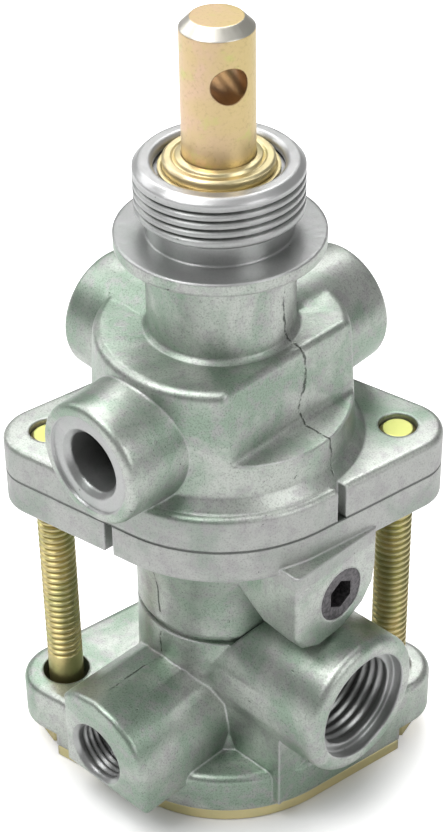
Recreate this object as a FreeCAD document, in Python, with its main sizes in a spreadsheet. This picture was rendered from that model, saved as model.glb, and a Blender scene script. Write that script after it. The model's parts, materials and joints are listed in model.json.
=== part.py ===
"""Trailer supply valve: a push-pull dash valve for compressed air.

Three die-cast bodies stand on one axis and are clamped by two long bolts.  A plated
plunger slides in the threaded neck on top; a relay piston slides in the lower body.
Lengths are millimetres.  The origin is on the plunger axis at the underside of the
bottom cover, +Z points up the plunger.  The threaded port of the lower body faces +X,
the small control port faces -Y, and the two clamping bolts stand on the X = Y diagonal.
"""
import FreeCAD, Part
import math
import os

import Sketcher

V = FreeCAD.Vector
doc = FreeCAD.newDocument("TrailerSupplyValve")

# Driving dimensions
SIZES = {
    # clearances
    "slide_gap": 0.05,         # radial, between parts that slide
    "seat_gap": 0.05,          # between faces that touch without pressing
    "free_gap": 0.2,           # loose parts and cast reliefs
    # clamping bolts
    "bolt_offset": 24.1,       # bolt axis to valve axis
    "bolt_dia": 5.2,
    "bolt_head_flats": 8.0,
    "bolt_head_len": 4,
    "bolt_hole_dia": 7,      # clearance hole in the lower ears
    "bolt_tap_dia": 5.5,       # hole in the upper ears
    "bolt_end_drop": 0.5,      # bolt end below the top of the upper flange
    "bolt_washer_radius": 5.5,
    "bolt_washer_thick": 1.0,
    # bottom cover
    "cover_radius": 20.6,
    "cover_thick": 2.2,
    "cover_screw_circle": 17.6,
    "cover_screw_dia": 2.5,
    "cover_screw_len": 5.5,
    # lower body
    "base_radius": 20.8,
    "base_thick": 6.2,           # front sector, between the two ports
    "base_edge": 1.2,
    "lower_ear_radius": 6.3,
    "lower_ear_under": 4.3,    # height of the underside of the ears
    "lower_ear_top": 11.5,
    "ear_notch_radius": 6.9,     # room for a bolt head under each ear
    "joint_height": 27.05,
    "trunk_radius": 12.8,
    "supply_reach": 27.1,      # valve axis to the face of the port
    "supply_height": 20.9,
    "supply_boss_radius": 10.7,
    "supply_web_half": 9.6,
    "supply_recess_radius": 8.2,
    "supply_recess_depth": 1.6,
    "supply_thread_radius": 6.88,
    "supply_thread_depth": 13.0,
    "supply_way_radius": 4.5,
    "control_reach": 26.8,
    "control_height": 12.1,
    "control_boss_radius": 9.8,
    "control_boss_left": 6.6,
    "control_boss_foot": 6.7,
    "control_thread_radius": 4.35,
    "control_chamfer": 0.7,
    "control_thread_depth": 9.0,
    # middle body
    "joint_groove": 1.2,
    "joint_groove_depth": 0.65,
    "split_height": 50.34,
    "middle_flange_thick": 5,
    "flange_round": 20.75,
    "flange_ear_radius": 6.3,
    "plug_reach": 22.3,
    "plug_height": 38.7,
    "plug_boss_left": 8.7,
    "plug_boss_right": 7.2,
    "plug_boss_foot": 32.0,
    "plug_boss_slope": 9.4,    # rise of its underside towards the neck
    "neck_flare": 1.9,
    "notch_depth": 1.1,
    "notch_width": 1.5,
    "plug_radius": 3.97,
    "plug_length": 7.0,
    "plug_flats": 3.97,
    "plug_socket_depth": 4.0,
    # upper body
    "upper_flange_thick": 5.38,
    "trunk_foot_radius": 18.15,
    "shoulder_radius": 17.26,
    "shoulder_height": 73.2,
    "flat_at_top": 12.25,      # valve axis to the flat on the trunk
    "flat_at_foot": 13.2,
    "flat_foot": 62.4,
    "neck_radius": 9.98,
    "disc_radius": 13.96,
    "disc_under": 85.92,
    "disc_top": 87.62,
    "undercut_radius": 9.62,
    "thread_start": 90.82,
    "thread_top": 97.93,
    "thread_radius": 11.11,
    "front_port_reach": 25,
    "front_port_height": 62.8,
    "side_port_reach": 24.3,
    "side_port_height": 65.5,
    "side_port_radius": 8.9,
    "rear_port_reach": 22.3,
    "rear_port_height": 66,
    "port_boss_radius": 8.7,
    "port_boss_draft": 1.1,
    "port_bore_radius": 4.35,
    "port_chamfer": 0.8,
    "spot_face_radius": 7.0,
    "spot_face_depth": 0.35,
    # plunger and guide
    "guide_bore_radius": 8.47,
    "guide_under": 84.6,
    "guide_land": 95.2,
    "guide_step_radius": 7.9,
    "guide_step_top": 97,
    "guide_ring_radius": 7.28,
    "guide_ring_top": 98.42,
    "stem_radius": 4.76,
    "stem_top": 117.36,
    "stem_chamfer": 1.35,
    "cross_hole_radius": 2.4,
    "cross_hole_height": 109.97,
    "cross_hole_angle": 64.0,
    "plunger_travel": 8.0,
    "collar_radius": 7.6,
    "collar_thick": 3.0,
    "rod_radius": 3.0,
    "rod_end": 49.2,
    "spring_floor": 64.6,
    "spring_wire": 1.2,
    "spring_radius": 6.5,
    "spring_coils": 5.0,
    # valve seat, valve washer and nut on the plunger
    "seat_outer_radius": 6.0,
    "seat_lower": 56.1,
    "seat_upper": 61.6,
    "seat_bore_radius": 3.4,
    "valve_radius": 5.6,
    "valve_thick": 2.2,
    "nut_flats": 7.0,
    "nut_thick": 3.2,
    # chambers
    "upper_chamber_radius": 12.0,
    "upper_chamber_top": 57.5,
    "middle_chamber_radius": 9.5,
    "middle_floor_top": 34.6,
    "middle_floor_under": 30.6,
    "lower_chamber_radius": 8.5,
    "lower_web_top": 14.5,
    "piston_chamber_radius": 13.5,
    "piston_chamber_top": 7.7,
    # relay piston
    "piston_thick": 2.6,
    "piston_rest_gap": 0.5,
    "relay_rod_radius": 2.5,
    "relay_rod_top": 38.8,
    "relay_seat_height": 16.6,
    "relay_seat_thick": 1.2,
    "relay_spring_radius": 5.2,
    "relay_spring_wire": 1.0,
    "relay_valve_radius": 5.4,
    "relay_valve_thick": 1.8,
    "relay_nut_thick": 1.9,
    # seal rings
    "flange_seal_radius": 14.0,
    "seal_wire": 1.6,
}

sheet = doc.addObject("Spreadsheet::Sheet", "Sizes")
for row, (name, number) in enumerate(SIZES.items(), start=1):
    sheet.set(f"A{row}", name)
    sheet.set(f"B{row}", f"{number:g}")
    sheet.setAlias(f"B{row}", name)
doc.recompute()


class Dim:
    """A length with its number and the sheet expression it comes from."""

    def __init__(self, number, text):
        self.number = number
        self.text = text

    def _with(self, other, sign, left=True):
        other = dim(other)
        a, b = (self, other) if left else (other, self)
        number = {"+": lambda: a.number + b.number, "-": lambda: a.number - b.number,
                  "*": lambda: a.number * b.number, "/": lambda: a.number / b.number}[sign]()
        return Dim(number, f"({a.text} {sign} {b.text})")

    def __add__(self, other):
        return self._with(other, "+")

    def __radd__(self, other):
        return self._with(other, "+", left=False)

    def __sub__(self, other):
        return self._with(other, "-")

    def __rsub__(self, other):
        return self._with(other, "-", left=False)

    def __mul__(self, other):
        return self._with(other, "*")

    def __rmul__(self, other):
        return self._with(other, "*", left=False)

    def __truediv__(self, other):
        return self._with(other, "/")


def dim(value):
    return value if isinstance(value, Dim) else Dim(float(value), f"{float(value):g}")


class Sizes:
    """Every cell of the sheet, read by its alias."""

    def __getattr__(self, name):
        return Dim(SIZES[name], f"Sizes.{name}")


s = Sizes()
FAR = dim(60)                                   # longer than any cut through the valve

TO_X = FreeCAD.Rotation(V(0, 1, 0), 90)         # turns +Z to +X
TO_MINUS_X = FreeCAD.Rotation(V(0, 1, 0), -90)
TO_Y = FreeCAD.Rotation(V(1, 0, 0), -90)
TO_MINUS_Y = FreeCAD.Rotation(V(1, 0, 0), 90)
EARS = FreeCAD.Rotation(V(0, 0, 1), 45)         # turns +X to the diagonal of the bolts


def bind(thing, **sizes):
    """Ties properties of an object to the sheet."""
    for name, size in sizes.items():
        thing.setExpression(name, dim(size).text)


def move_to(thing, x=0, y=0, z=0, turn=None):
    """Places an object; the coordinates stay tied to the sheet."""
    thing.Placement = FreeCAD.Placement(V(0, 0, 0), turn or FreeCAD.Rotation())
    for axis, size in zip("xyz", (x, y, z)):
        thing.setExpression(f".Placement.Base.{axis}", dim(size).text)


def new_body(label):
    body = doc.addObject("PartDesign::Body", label)
    body.Label = label
    return body


def plane(body, role):
    return next(f for f in body.Origin.OriginFeatures if f.Role == role)


def feature(body, kind, x=0, y=0, z=0, turn=None, **sizes):
    """A PartDesign primitive, added to or taken from the body."""
    thing = body.newObject(f"PartDesign::{kind}", kind)
    bind(thing, **sizes)
    move_to(thing, x, y, z, turn)
    doc.recompute()
    return thing


def polygon_sketch(body, role, points, offset=None):
    """A closed outline whose corners are (across, up) sizes tied to the sheet."""
    sketch = body.newObject("Sketcher::SketchObject", "Outline")
    sketch.AttachmentSupport = [(plane(body, role), "")]
    sketch.MapMode = "FlatFace"
    if offset is not None:
        sketch.setExpression(".AttachmentOffset.Base.z", dim(offset).text)
    points = [(dim(a), dim(b)) for a, b in points]
    count = len(points)
    for i, (a, b) in enumerate(points):
        a2, b2 = points[(i + 1) % count]
        sketch.addGeometry(Part.LineSegment(V(a.number, b.number, 0), V(a2.number, b2.number, 0)))
    for i in range(count):
        sketch.addConstraint(Sketcher.Constraint("Coincident", i, 2, (i + 1) % count, 1))
    for i, (a, b) in enumerate(points):
        for kind, size, axis in (("DistanceX", a, -2), ("DistanceY", b, -1)):
            if size.text == "0":
                sketch.addConstraint(Sketcher.Constraint("PointOnObject", i, 1, axis))
            else:
                at = sketch.addConstraint(Sketcher.Constraint(kind, -1, 1, i, 1, size.number))
                sketch.setExpression(f"Constraints[{at}]", size.text)
    return sketch


def revolve(body, points, cut=False):
    """A turned form: (radius, height) corners swept once round the valve axis."""
    sketch = polygon_sketch(body, "XZ_Plane", points)
    kind = "Groove" if cut else "Revolution"
    turned = body.newObject(f"PartDesign::{kind}", kind)
    turned.Profile = sketch
    turned.ReferenceAxis = (sketch, ["V_Axis"])
    turned.Angle = 360
    doc.recompute()
    return turned


def pad(body, role, points, offset, length, cut=False, reverse=False):
    """A straight form: a closed outline pushed along the normal of its plane."""
    sketch = polygon_sketch(body, role, points, offset)
    kind = "Pocket" if cut else "Pad"
    solid = body.newObject(f"PartDesign::{kind}", kind)
    solid.Profile = sketch
    solid.Reversed = reverse
    bind(solid, Length=length)
    doc.recompute()
    return solid


def eared_pad(body, round_radius, ear_radius, z, thick):
    """A flange: a round middle joined by tangents to an ear at each bolt."""
    big, small, reach = dim(round_radius), dim(ear_radius), s.bolt_offset
    tilt = math.acos((big.number - small.number) / reach.number)
    sketch = body.newObject("Sketcher::SketchObject", "Flange")
    sketch.AttachmentSupport = [(plane(body, "XY_Plane"), "")]
    sketch.MapMode = "FlatFace"
    sketch.AttachmentOffset = FreeCAD.Placement(V(0, 0, 0), EARS)
    sketch.setExpression(".AttachmentOffset.Base.z", dim(z).text)
    up = V(0, 0, 1)
    # the arcs run right ear, back, left ear, front; the lines join them in that order
    arcs = [(reach.number, small.number, -tilt, tilt),
            (0, big.number, tilt, math.pi - tilt),
            (-reach.number, small.number, math.pi - tilt, math.pi + tilt),
            (0, big.number, math.pi + tilt, 2 * math.pi - tilt)]
    for centre, radius, start, end in arcs:
        sketch.addGeometry(Part.ArcOfCircle(Part.Circle(V(centre, 0, 0), up, radius), start, end))
    ends = []
    for centre, radius, start, end in arcs:
        ends.append([V(centre + radius * math.cos(t), radius * math.sin(t), 0) for t in (start, end)])
    for i in range(4):
        sketch.addGeometry(Part.LineSegment(ends[i][1], ends[(i + 1) % 4][0]))
    for i in range(4):
        sketch.addConstraint(Sketcher.Constraint("Tangent", i, 2, 4 + i, 1))
        sketch.addConstraint(Sketcher.Constraint("Tangent", 4 + i, 2, (i + 1) % 4, 1))
    for i in (1, 3):
        sketch.addConstraint(Sketcher.Constraint("Coincident", i, 3, -1, 1))
    for i, radius in ((0, small), (1, big), (2, small), (3, big)):
        at = sketch.addConstraint(Sketcher.Constraint("Radius", i, radius.number))
        sketch.setExpression(f"Constraints[{at}]", radius.text)
    for i, sign in ((0, 1), (2, -1)):
        sketch.addConstraint(Sketcher.Constraint("PointOnObject", i, 3, -1))
        at = sketch.addConstraint(Sketcher.Constraint("DistanceX", -1, 1, i, 3, sign * reach.number))
        sketch.setExpression(f"Constraints[{at}]", (sign * reach).text)
    solid = body.newObject("PartDesign::Pad", "Flange")
    solid.Profile = sketch
    bind(solid, Length=thick)
    doc.recompute()
    return solid


def soften(body, radius, choose, kind="Fillet"):
    """Rounds the edges of the body that the test picks."""
    tip = body.Tip
    names = [f"Edge{i}" for i, e in enumerate(tip.Shape.Edges, start=1) if choose(e)]
    if not names:
        raise ValueError(f"{body.Label}: no edge to soften")
    soft = body.newObject(f"PartDesign::{kind}", kind)
    soft.Base = (tip, names)
    bind(soft, **{"Radius" if kind == "Fillet" else "Size": radius})
    doc.recompute()
    return soft


def level(edge, z, tolerance=0.02):
    """True for an edge that lies at one height."""
    box = edge.BoundBox
    return abs(box.ZMin - dim(z).number) < tolerance and abs(box.ZMax - dim(z).number) < tolerance


def facing(edge, axis, value, tolerance=0.02):
    """True for an edge that lies in the plane axis = value."""
    box = edge.BoundBox
    low, high = {"x": (box.XMin, box.XMax), "y": (box.YMin, box.YMax)}[axis]
    return abs(low - value) < tolerance and abs(high - value) < tolerance


def bolt_holes(body, radius, z, length):
    for sign in (1, -1):
        along = sign * s.bolt_offset * math.sqrt(0.5)
        feature(body, "SubtractiveCylinder", x=along, y=along, z=z, Radius=radius, Height=length)


def ring(label, radius, wire, z):
    """A seal ring: a torus about the valve axis."""
    body = new_body(label)
    feature(body, "AdditiveTorus", z=z, Radius1=radius, Radius2=dim(wire) / 2)
    return body


# Lower body
cover_top = s.cover_thick
base_top = cover_top + s.base_thick
lower_body = new_body("lower_body")
eared_pad(lower_body, s.base_radius, s.lower_ear_radius, cover_top, s.lower_ear_top - cover_top)
soften(lower_body, s.base_edge, lambda e: level(e, s.lower_ear_top))
# the sector between the two ports is lower, with its own rounded rim
feature(lower_body, "SubtractiveBox", x=2, y=-1 * FAR - 2, z=base_top, Length=FAR, Width=FAR, Height=FAR)
soften(lower_body, s.base_edge, lambda e: level(e, base_top) and e.BoundBox.DiagonalLength > 15
       and e.BoundBox.XLength > 3 and e.BoundBox.YLength > 3)
revolve(lower_body, [(0, base_top - 1), (s.trunk_radius + 2.2, base_top - 1),
                     (s.trunk_radius + 0.3, base_top + 4), (s.trunk_radius, s.joint_height),
                     (0, s.joint_height)])
# boss of the supply port: round, carried by a web down to the base
feature(lower_body, "AdditiveCylinder", z=s.supply_height, turn=TO_X,
        Radius=s.supply_boss_radius, Height=s.supply_reach)
feature(lower_body, "AdditiveBox", y=-1 * s.supply_web_half, z=cover_top + 1,
        Length=s.base_radius - 1, Width=s.supply_web_half * 2,
        Height=s.supply_height - cover_top - 1)
# boss of the control port: round on top, cut flat beside the bolt and underneath
pad(lower_body, "XZ_Plane",
    [(s.control_boss_left * -1, s.control_boss_foot), (s.control_boss_radius, s.control_boss_foot),
     (s.control_boss_radius, s.control_height),
     (s.control_boss_radius * 0.92, s.control_height + s.control_boss_radius * 0.39),
     (s.control_boss_radius * 0.71, s.control_height + s.control_boss_radius * 0.71),
     (s.control_boss_radius * 0.39, s.control_height + s.control_boss_radius * 0.92),
     (0, s.control_height + s.control_boss_radius),
     (s.control_boss_radius * -0.39, s.control_height + s.control_boss_radius * 0.92),
     (s.control_boss_left * -1, s.control_height + s.control_boss_radius * 0.74)],
    0, s.control_reach)
# room for the neck of the middle body
feature(lower_body, "SubtractiveCylinder", z=s.joint_height, Radius=s.trunk_radius + s.free_gap, Height=20)
soften(lower_body, 1.4, lambda e: facing(e, "x", s.supply_reach.number))
soften(lower_body, 0.9, lambda e: facing(e, "y", -s.control_reach.number))
# supply port: recess, thread bore, way in
feature(lower_body, "SubtractiveCylinder", x=s.supply_reach - s.supply_recess_depth,
        z=s.supply_height, turn=TO_X, Radius=s.supply_recess_radius, Height=10)
feature(lower_body, "SubtractiveCylinder", x=s.supply_reach - s.supply_thread_depth,
        z=s.supply_height, turn=TO_X, Radius=s.supply_thread_radius, Height=FAR)
feature(lower_body, "SubtractiveCylinder", x=5, z=s.supply_height, turn=TO_X,
        Radius=s.supply_way_radius, Height=15)
# control port: thread bore with a chamfered mouth
control_in = s.control_reach - s.control_thread_depth
feature(lower_body, "SubtractiveCylinder", y=-1 * control_in, z=s.control_height,
        turn=TO_MINUS_Y, Radius=s.control_thread_radius, Height=FAR)
soften(lower_body, s.control_chamfer, lambda e: facing(e, "y", -s.control_reach.number)
       and e.BoundBox.XLength < 2 * s.control_thread_radius.number + 0.1, kind="Chamfer")
feature(lower_body, "SubtractiveBox", x=-1.6, y=-1 * control_in - 1, z=s.piston_chamber_top - 1,
        Length=3.2, Width=6, Height=s.control_height - s.piston_chamber_top)
# chambers on the axis
revolve(lower_body, [(0, cover_top - 1), (s.piston_chamber_radius, cover_top - 1),
                     (s.piston_chamber_radius, s.piston_chamber_top),
                     (s.relay_rod_radius + s.slide_gap, s.piston_chamber_top),
                     (s.relay_rod_radius + s.slide_gap, s.lower_web_top),
                     (s.lower_chamber_radius, s.lower_web_top),
                     (s.lower_chamber_radius, s.joint_height + 1), (0, s.joint_height + 1)], cut=True)
# ears: room for the bolt heads below, clearance holes through
bolt_holes(lower_body, s.ear_notch_radius, 0, s.lower_ear_under)
bolt_holes(lower_body, s.bolt_hole_dia / 2, 0, 30)
# groove of the joint seal
joint_seal_radius = (s.lower_chamber_radius + s.trunk_radius) / 2
seal_groove = s.seal_wire / 2 + s.free_gap
revolve(lower_body, [(joint_seal_radius - seal_groove, s.joint_height - s.seal_wire - s.seat_gap),
                     (joint_seal_radius + seal_groove, s.joint_height - s.seal_wire - s.seat_gap),
                     (joint_seal_radius + seal_groove, s.joint_height + 1),
                     (joint_seal_radius - seal_groove, s.joint_height + 1)], cut=True)
# seat of the cover seal
cover_seal_radius = s.piston_chamber_radius + s.seal_wire / 2 + s.free_gap
revolve(lower_body, [(s.piston_chamber_radius - 1, cover_top - 1),
                     (cover_seal_radius + s.seal_wire / 2, cover_top - 1),
                     (cover_seal_radius + s.seal_wire / 2, cover_top + s.seal_wire),
                     (s.piston_chamber_radius - 1, cover_top + s.seal_wire)], cut=True)

joint_seal = ring("joint_seal", joint_seal_radius, s.seal_wire,
                  s.joint_height - s.seal_wire / 2 - s.seat_gap / 2)
cover_seal = ring("cover_seal", cover_seal_radius - s.seat_gap, s.seal_wire - s.seat_gap,
                  cover_top + s.seal_wire / 2)

# Bottom cover and its screws
SCREW_ANGLES = (20, 160, 250)
bottom_cover = new_body("bottom_cover")
eared_pad(bottom_cover, s.cover_radius, s.lower_ear_radius, 0, s.cover_thick)
soften(bottom_cover, 0.35, lambda e: level(e, 0) or level(e, s.cover_thick))
bolt_holes(bottom_cover, s.ear_notch_radius, -1, 10)
screw_r = s.cover_screw_dia / 2


def on_circle(radius, angle):
    """The sheet-tied corner of a pitch circle at an angle in degrees."""
    turn = math.radians(angle)
    return radius * round(math.cos(turn), 6), radius * round(math.sin(turn), 6)


for angle in SCREW_ANGLES:
    x, y = on_circle(s.cover_screw_circle, angle)
    feature(bottom_cover, "SubtractiveCone", x=x, y=y, z=0, Radius1=screw_r * 2 + 0.1,
            Radius2=screw_r + 0.1, Height=screw_r)
    feature(bottom_cover, "SubtractiveCylinder", x=x, y=y, z=0, Radius=screw_r + 0.1, Height=10)
    feature(lower_body, "SubtractiveCylinder", x=x, y=y, z=0,
            Radius=screw_r + s.slide_gap, Height=s.cover_screw_len + 0.5)

cover_screws = []
for number, angle in enumerate(SCREW_ANGLES, start=1):
    x, y = on_circle(s.cover_screw_circle, angle)
    screw = new_body(f"screw_{number}")
    revolve(screw, [(0, 0), (screw_r * 2, 0), (screw_r, screw_r),
                    (screw_r, s.cover_screw_len), (0, s.cover_screw_len)])
    feature(screw, "SubtractiveBox", x=-0.4, y=-3, z=-1, Length=0.8, Width=6, Height=1.8)
    move_to(screw, x, y, s.seat_gap)
    cover_screws.append(screw)

# Middle body
middle_body = new_body("middle_body")
neck_foot = s.joint_height + s.joint_groove
flange_under = s.split_height - s.middle_flange_thick
# wedge that carries the plug: upright face with a rounded foot, underside rising to the neck
wedge_in = s.trunk_radius - 4
pad(middle_body, "YZ_Plane",
    [(s.plug_boss_left * -1, flange_under + 1), (s.plug_boss_left * -1, s.plug_boss_foot + 3.7),
     (s.plug_boss_left * -0.85, s.plug_boss_foot + 1.4), (s.plug_boss_left * -0.5, s.plug_boss_foot),
     (s.plug_boss_right * 0.1, s.plug_boss_foot + 0.4), (s.plug_boss_right * 0.65, s.plug_boss_foot + 2.4),
     (s.plug_boss_right * 0.93, s.plug_boss_foot + 5), (s.plug_boss_right, s.plug_boss_foot + 8),
     (s.plug_boss_right, flange_under + 1)],
    wedge_in, s.plug_reach - wedge_in)
pad(middle_body, "XZ_Plane",
    [(wedge_in - 1, s.plug_boss_foot - 2), (s.plug_reach - 1, s.plug_boss_foot - 2),
     (s.plug_reach - 1, s.plug_boss_foot), (wedge_in - 1, s.plug_boss_foot + s.plug_boss_slope)],
    -1 * FAR / 2, FAR, cut=True, reverse=True)
soften(middle_body, 0.6, lambda e: facing(e, "x", s.plug_reach.number)
       and not level(e, flange_under + 1))
revolve(middle_body, [(0, s.joint_height), (s.trunk_radius - s.joint_groove_depth, s.joint_height),
                      (s.trunk_radius - s.joint_groove_depth, neck_foot), (s.trunk_radius, neck_foot),
                      (s.trunk_radius, neck_foot + 6), (s.trunk_radius + s.neck_flare, flange_under - 3),
                      (s.flange_round - 3.5, flange_under), (s.flange_round - 3.5, s.split_height),
                      (0, s.split_height)])
eared_pad(middle_body, s.flange_round, s.flange_ear_radius, flange_under, s.middle_flange_thick)


def notch(body, angle, z, height):
    """A short upright notch in the wall of a flange."""
    turn = math.radians(angle)
    low = s.flange_round - s.notch_depth
    half = s.notch_width / 2
    out_x, out_y = round(math.cos(turn), 6), round(math.sin(turn), 6)
    feature(body, "SubtractiveBox", x=low * out_x + half * out_y, y=low * out_y - half * out_x, z=z,
            turn=FreeCAD.Rotation(V(0, 0, 1), angle), Length=6, Width=s.notch_width, Height=height)


notch(middle_body, -93, flange_under - 1, s.middle_flange_thick + 2)
bolt_holes(middle_body, s.bolt_tap_dia / 2, flange_under - 1, 10)
revolve(middle_body, [(0, s.joint_height - 1), (s.lower_chamber_radius, s.joint_height - 1),
                      (s.lower_chamber_radius, s.middle_floor_under),
                      (s.relay_rod_radius + s.slide_gap, s.middle_floor_under),
                      (s.relay_rod_radius + s.slide_gap, s.middle_floor_top),
                      (s.middle_chamber_radius, s.middle_floor_top),
                      (s.middle_chamber_radius, s.split_height + 1), (0, s.split_height + 1)], cut=True)
feature(middle_body, "SubtractiveCylinder", x=s.plug_reach - s.plug_length - 0.5, z=s.plug_height,
        turn=TO_X, Radius=s.plug_radius + s.slide_gap, Height=FAR)
feature(middle_body, "SubtractiveCylinder", x=5, z=s.plug_height, turn=TO_X,
        Radius=s.plug_radius / 2, Height=15)
flange_seal_radius = s.flange_seal_radius
revolve(middle_body, [(flange_seal_radius - seal_groove, s.split_height - s.seal_wire - s.seat_gap),
                      (flange_seal_radius + seal_groove, s.split_height - s.seal_wire - s.seat_gap),
                      (flange_seal_radius + seal_groove, s.split_height + 1),
                      (flange_seal_radius - seal_groove, s.split_height + 1)], cut=True)
flange_seal = ring("flange_seal", flange_seal_radius, s.seal_wire,
                   s.split_height - s.seal_wire / 2 - s.seat_gap / 2)


def hex_points(flats):
    """Corners of a hexagon given across its flats."""
    side = flats / math.sqrt(3)
    half = flats / 2
    return [(side, 0), (side / 2, half), (side / -2, half), (side * -1, 0),
            (side / -2, half * -1), (side / 2, half * -1)]


plug = new_body("pipe_plug")
feature(plug, "AdditiveCylinder", Radius=s.plug_radius, Height=s.plug_length)
pad(plug, "XY_Plane", hex_points(s.plug_flats), s.plug_length - s.plug_socket_depth, 10,
    cut=True, reverse=True)
move_to(plug, s.plug_reach - s.plug_length - 0.1, 0, s.plug_height, TO_X)

# Upper body
upper_body = new_body("upper_body")
flange_top = s.split_height + s.upper_flange_thick
revolve(upper_body, [(0, s.split_height), (s.trunk_foot_radius + 1.5, s.split_height),
                     (s.trunk_foot_radius + 1.5, flange_top), (s.trunk_foot_radius, flange_top + 1.7),
                     (s.shoulder_radius, s.shoulder_height), (0, s.shoulder_height)])
soften(upper_body, 1.4, lambda e: level(e, s.shoulder_height))
# flat on the trunk that faces +X, with a sloping floor
pad(upper_body, "XZ_Plane",
    [(s.flat_at_top, s.shoulder_height + 2), (s.flat_at_top, s.shoulder_height),
     (s.flat_at_foot, s.flat_foot), (s.flat_at_foot + 10, s.flat_foot - 1.5),
     (s.flat_at_foot + 10, s.shoulder_height + 2)],
    -1 * FAR / 2, FAR, cut=True, reverse=True)
soften(upper_body, 0.9, lambda e: e.BoundBox.YLength > 15 and e.BoundBox.XLength < 0.1)
eared_pad(upper_body, s.flange_round, s.flange_ear_radius, s.split_height, s.upper_flange_thick)
soften(upper_body, 0.9, lambda e: level(e, flange_top)
       and math.hypot(e.BoundBox.Center.x, e.BoundBox.Center.y) > 17)
# port bosses: slightly tapered towards their faces
for reach, height, radius, turn in (
        (s.front_port_reach, s.front_port_height, s.port_boss_radius, TO_MINUS_Y),
        (s.side_port_reach, s.side_port_height, s.side_port_radius, TO_Y),
        (s.rear_port_reach, s.rear_port_height, s.side_port_radius, TO_MINUS_X)):
    feature(upper_body, "AdditiveCone", z=height, turn=turn, Radius1=radius + s.port_boss_draft,
            Radius2=radius, Height=reach)
soften(upper_body, 1.0, lambda e: facing(e, "y", -s.front_port_reach.number)
       or facing(e, "y", s.side_port_reach.number) or facing(e, "x", -s.rear_port_reach.number))
revolve(upper_body, [(0, s.shoulder_height - 2), (s.neck_radius + 0.6, s.shoulder_height - 2),
                     (s.neck_radius + 0.6, s.shoulder_height), (s.neck_radius, s.shoulder_height + 0.6),
                     (s.neck_radius, s.disc_under), (s.disc_radius, s.disc_under),
                     (s.disc_radius, s.disc_top), (s.undercut_radius, s.disc_top),
                     (s.undercut_radius, s.thread_start), (s.thread_radius - 0.5, s.thread_start),
                     (s.thread_radius, s.thread_start + 0.5), (s.thread_radius, s.thread_top - 0.8),
                     (s.thread_radius - 0.8, s.thread_top), (0, s.thread_top)])
bolt_holes(upper_body, s.bolt_tap_dia / 2, s.split_height - 1, 10)
notch(upper_body, 3, s.split_height - 1, s.upper_flange_thick + 2)
for reach, height, turn, sign, axis in (
        (s.front_port_reach, s.front_port_height, TO_MINUS_Y, -1, "y"),
        (s.side_port_reach, s.side_port_height, TO_Y, 1, "y"),
        (s.rear_port_reach, s.rear_port_height, TO_MINUS_X, -1, "x")):
    face = {axis: sign * (reach - s.spot_face_depth)}
    feature(upper_body, "SubtractiveCylinder", z=height, turn=turn,
            Radius=s.spot_face_radius, Height=5, **face)
    inner = {axis: sign * dim(7)}
    feature(upper_body, "SubtractiveCylinder", z=height, turn=turn,
            Radius=s.port_bore_radius, Height=FAR, **inner)
    mouth = {axis: sign * (reach - s.spot_face_depth - s.port_chamfer)}
    feature(upper_body, "SubtractiveCone", z=height, turn=turn, Radius1=s.port_bore_radius,
            Radius2=s.port_bore_radius + s.port_chamfer, Height=s.port_chamfer, **mouth)
# bore on the axis: chamber, web with the valve seat, spring room, guide bore
bore = s.guide_bore_radius
revolve(upper_body, [(0, s.split_height - 1), (s.upper_chamber_radius, s.split_height - 1),
                     (s.upper_chamber_radius, s.upper_chamber_top),
                     (s.seat_outer_radius, s.upper_chamber_top), (s.seat_outer_radius, s.seat_upper),
                     (s.seat_bore_radius, s.seat_upper), (s.seat_bore_radius, s.spring_floor),
                     (bore, s.spring_floor), (bore, s.guide_land + 0.2),
                     (bore + 0.6, s.guide_land + 0.2), (bore + 0.6, s.guide_land + 1.4),
                     (bore, s.guide_land + 1.4), (bore, s.thread_top - 0.5),
                     (bore + 0.45, s.thread_top), (bore + 0.45, s.thread_top + 1),
                     (0, s.thread_top + 1)], cut=True)

# Plunger guide and its rings
stem_seal_height = s.guide_under + 4.5
guide_seal_height = s.guide_under + 6
plunger_guide = new_body("plunger_guide")
guide_r = s.guide_bore_radius - s.slide_gap
guide_in = s.stem_radius + s.slide_gap
groove = s.seal_wire / 2 + 0.1
revolve(plunger_guide, [(guide_in, s.guide_under), (guide_r, s.guide_under),
                        (guide_r, guide_seal_height - groove),
                        (guide_r - s.seal_wire, guide_seal_height - groove),
                        (guide_r - s.seal_wire, guide_seal_height + groove),
                        (guide_r, guide_seal_height + groove), (guide_r, s.guide_land),
                        (s.guide_step_radius - 0.5, s.guide_land),
                        (s.guide_step_radius - 0.5, s.guide_land + 1.3),
                        (s.guide_step_radius, s.guide_land + 1.3),
                        (s.guide_step_radius, s.guide_step_top),
                        (s.guide_ring_radius + 0.1, s.guide_step_top),
                        (s.guide_ring_radius + 0.1, s.guide_step_top - 0.4),
                        (s.guide_ring_radius - 0.3, s.guide_step_top - 0.4),
                        (s.guide_ring_radius, s.guide_step_top + 0.2),
                        (s.guide_ring_radius, s.guide_ring_top - 0.3),
                        (s.guide_ring_radius - 0.3, s.guide_ring_top),
                        (s.stem_radius + 1.4, s.guide_ring_top), (s.stem_radius + 1.1, s.guide_ring_top - 0.3),
                        (s.stem_radius + 0.8, s.guide_ring_top + 0.2), (guide_in, s.guide_ring_top + 0.4),
                        (guide_in, stem_seal_height + groove),
                        (guide_in + s.seal_wire, stem_seal_height + groove),
                        (guide_in + s.seal_wire, stem_seal_height - groove),
                        (guide_in, stem_seal_height - groove)])
guide_seal = ring("guide_seal", guide_r - s.seal_wire / 2, s.seal_wire - s.seat_gap, guide_seal_height)
stem_seal = ring("stem_seal", guide_in + s.seal_wire / 2, s.seal_wire - s.seat_gap, stem_seal_height)
retaining_ring = new_body("guide_retaining_ring")
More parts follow.
